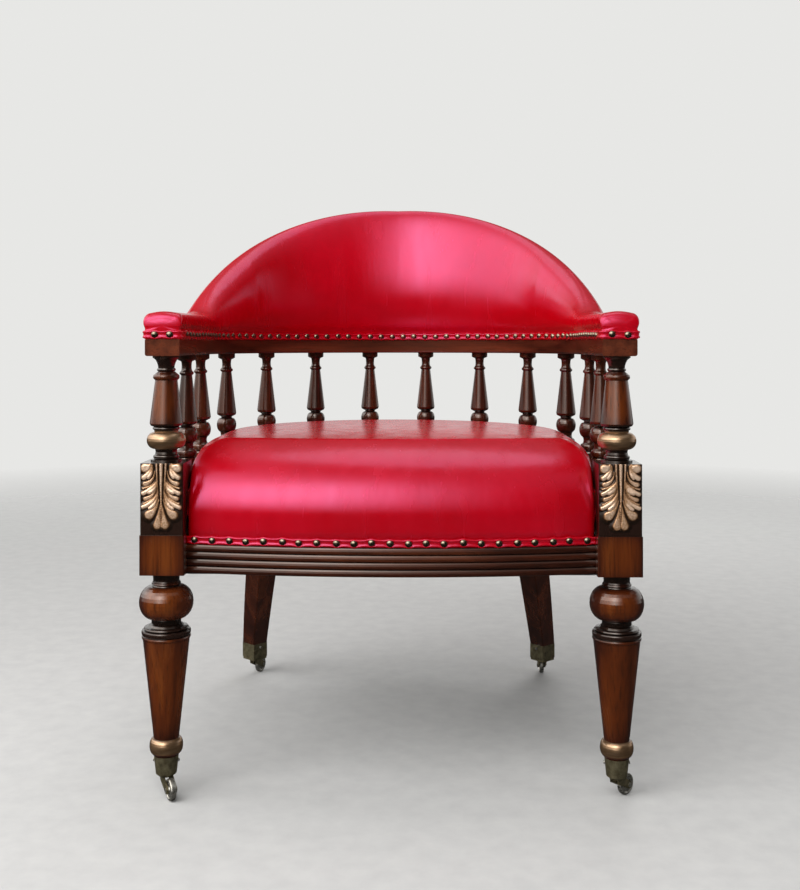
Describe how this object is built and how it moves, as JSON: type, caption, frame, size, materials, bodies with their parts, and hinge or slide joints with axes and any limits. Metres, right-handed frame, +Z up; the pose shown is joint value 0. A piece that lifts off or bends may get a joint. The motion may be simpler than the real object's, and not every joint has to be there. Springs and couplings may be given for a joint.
{
  "type": "tub armchair",
  "caption": "Tub armchair with crowned leather seat, padded horseshoe back on a spindle gallery, turned front legs, swept square rear legs and small swivelling castors.",
  "frame": {"origin": "on the floor under the middle of the chair's outline", "axes": "+Z up, the front faces -Y, +X to the viewer's right when the chair is seen from the front"},
  "size_m": [0.6626, 0.6116, 0.8296],
  "materials": {
    "mahogany": "dark red-brown French polish, satin",
    "inner_wood": "bare sawn beech",
    "gilding": "antique gilding with dark recesses",
    "leather": "smooth crimson hide, polished",
    "stuffing": "felted hair and wadding",
    "webbing": "woven jute",
    "dust_cloth": "black cambric",
    "nail_brass": "antique domed nail heads",
    "castor_brass": "aged brass",
    "castor_steel": "worn steel"
  },
  "bodies": {
    "chair": {"front_post_left": "mahogany", "front_post_right": "mahogany", "acanthus_left": "gilding", "acanthus_right": "gilding", "arm_rail_left": "mahogany", "arm_rail_right": "mahogany", "back_rail": "mahogany", "gallery_rail_left": "mahogany", "gallery_rail_right": "mahogany", "gallery_rail_back": "mahogany", "spindle_01": "mahogany", "spindle_02": "mahogany", "spindle_03": "mahogany", "spindle_04": "mahogany", "spindle_05": "mahogany", "spindle_06": "mahogany", "spindle_07": "mahogany", "spindle_08": "mahogany", "spindle_09": "mahogany", "spindle_10": "mahogany", "spindle_11": "mahogany", "spindle_12": "mahogany", "front_seat_rail": "mahogany", "side_seat_rail_left": "mahogany", "side_seat_rail_right": "mahogany", "back_seat_rail": "mahogany", "rear_leg_left": "mahogany", "rear_leg_right": "mahogany", "corner_blocks": "inner_wood", "back_former": "inner_wood", "seat_webbing": "webbing", "seat_stuffing": "stuffing", "seat_cover": "leather", "seat_band": "leather", "seat_nails": "nail_brass", "dust_cover": "dust_cloth", "back_pad": "leather", "back_band": "leather", "back_nails_inner": "nail_brass", "back_nails_outer": "nail_brass", "arm_nails": "nail_brass", "castor_cup_fl": "castor_brass", "castor_cup_fr": "castor_brass", "castor_cup_rl": "castor_brass", "castor_cup_rr": "castor_brass", "castor_screws": "castor_steel"},
    "fork_front_left": {"castor_horn_fl": "castor_brass", "castor_axle_fl": "castor_steel"},
    "wheel_front_left": {"castor_wheel_fl": "castor_steel"},
    "fork_front_right": {"castor_horn_fr": "castor_brass", "castor_axle_fr": "castor_steel"},
    "wheel_front_right": {"castor_wheel_fr": "castor_steel"},
    "fork_rear_left": {"castor_horn_rl": "castor_brass", "castor_axle_rl": "castor_steel"},
    "wheel_rear_left": {"castor_wheel_rl": "castor_steel"},
    "fork_rear_right": {"castor_horn_rr": "castor_brass", "castor_axle_rr": "castor_steel"},
    "wheel_rear_right": {"castor_wheel_rr": "castor_steel"}
  },
  "joints": [
    {"name": "swivel_front_left", "type": "hinge", "parent": "chair", "child": "fork_front_left", "pos_m": [-0.296, -0.26669, 0.029], "axis": [0, 0, 1], "continuous": true},
    {"name": "roll_front_left", "type": "hinge", "parent": "fork_front_left", "child": "wheel_front_left", "pos_m": [-0.28625, -0.28358, 0.014], "axis": [0.866, 0.5, 0], "continuous": true},
    {"name": "swivel_front_right", "type": "hinge", "parent": "chair", "child": "fork_front_right", "pos_m": [0.296, -0.26669, 0.029], "axis": [0, 0, 1], "continuous": true},
    {"name": "roll_front_right", "type": "hinge", "parent": "fork_front_right", "child": "wheel_front_right", "pos_m": [0.30979, -0.2529, 0.014], "axis": [-0.7071, 0.7071, 0], "continuous": true},
    {"name": "swivel_rear_left", "type": "hinge", "parent": "chair", "child": "fork_rear_left", "pos_m": [-0.25823, 0.27229, 0.029], "axis": [0, 0, 1], "continuous": true},
    {"name": "roll_rear_left", "type": "hinge", "parent": "fork_rear_left", "child": "wheel_rear_left", "pos_m": [-0.25093, 0.29037, 0.014], "axis": [-0.9272, 0.3746, 0], "continuous": true},
    {"name": "swivel_rear_right", "type": "hinge", "parent": "chair", "child": "fork_rear_right", "pos_m": [0.25823, 0.27229, 0.029], "axis": [0, 0, 1], "continuous": true},
    {"name": "roll_rear_right", "type": "hinge", "parent": "fork_rear_right", "child": "wheel_rear_right", "pos_m": [0.25823, 0.29179, 0.014], "axis": [-1, 0, 0], "continuous": true}
  ]
}
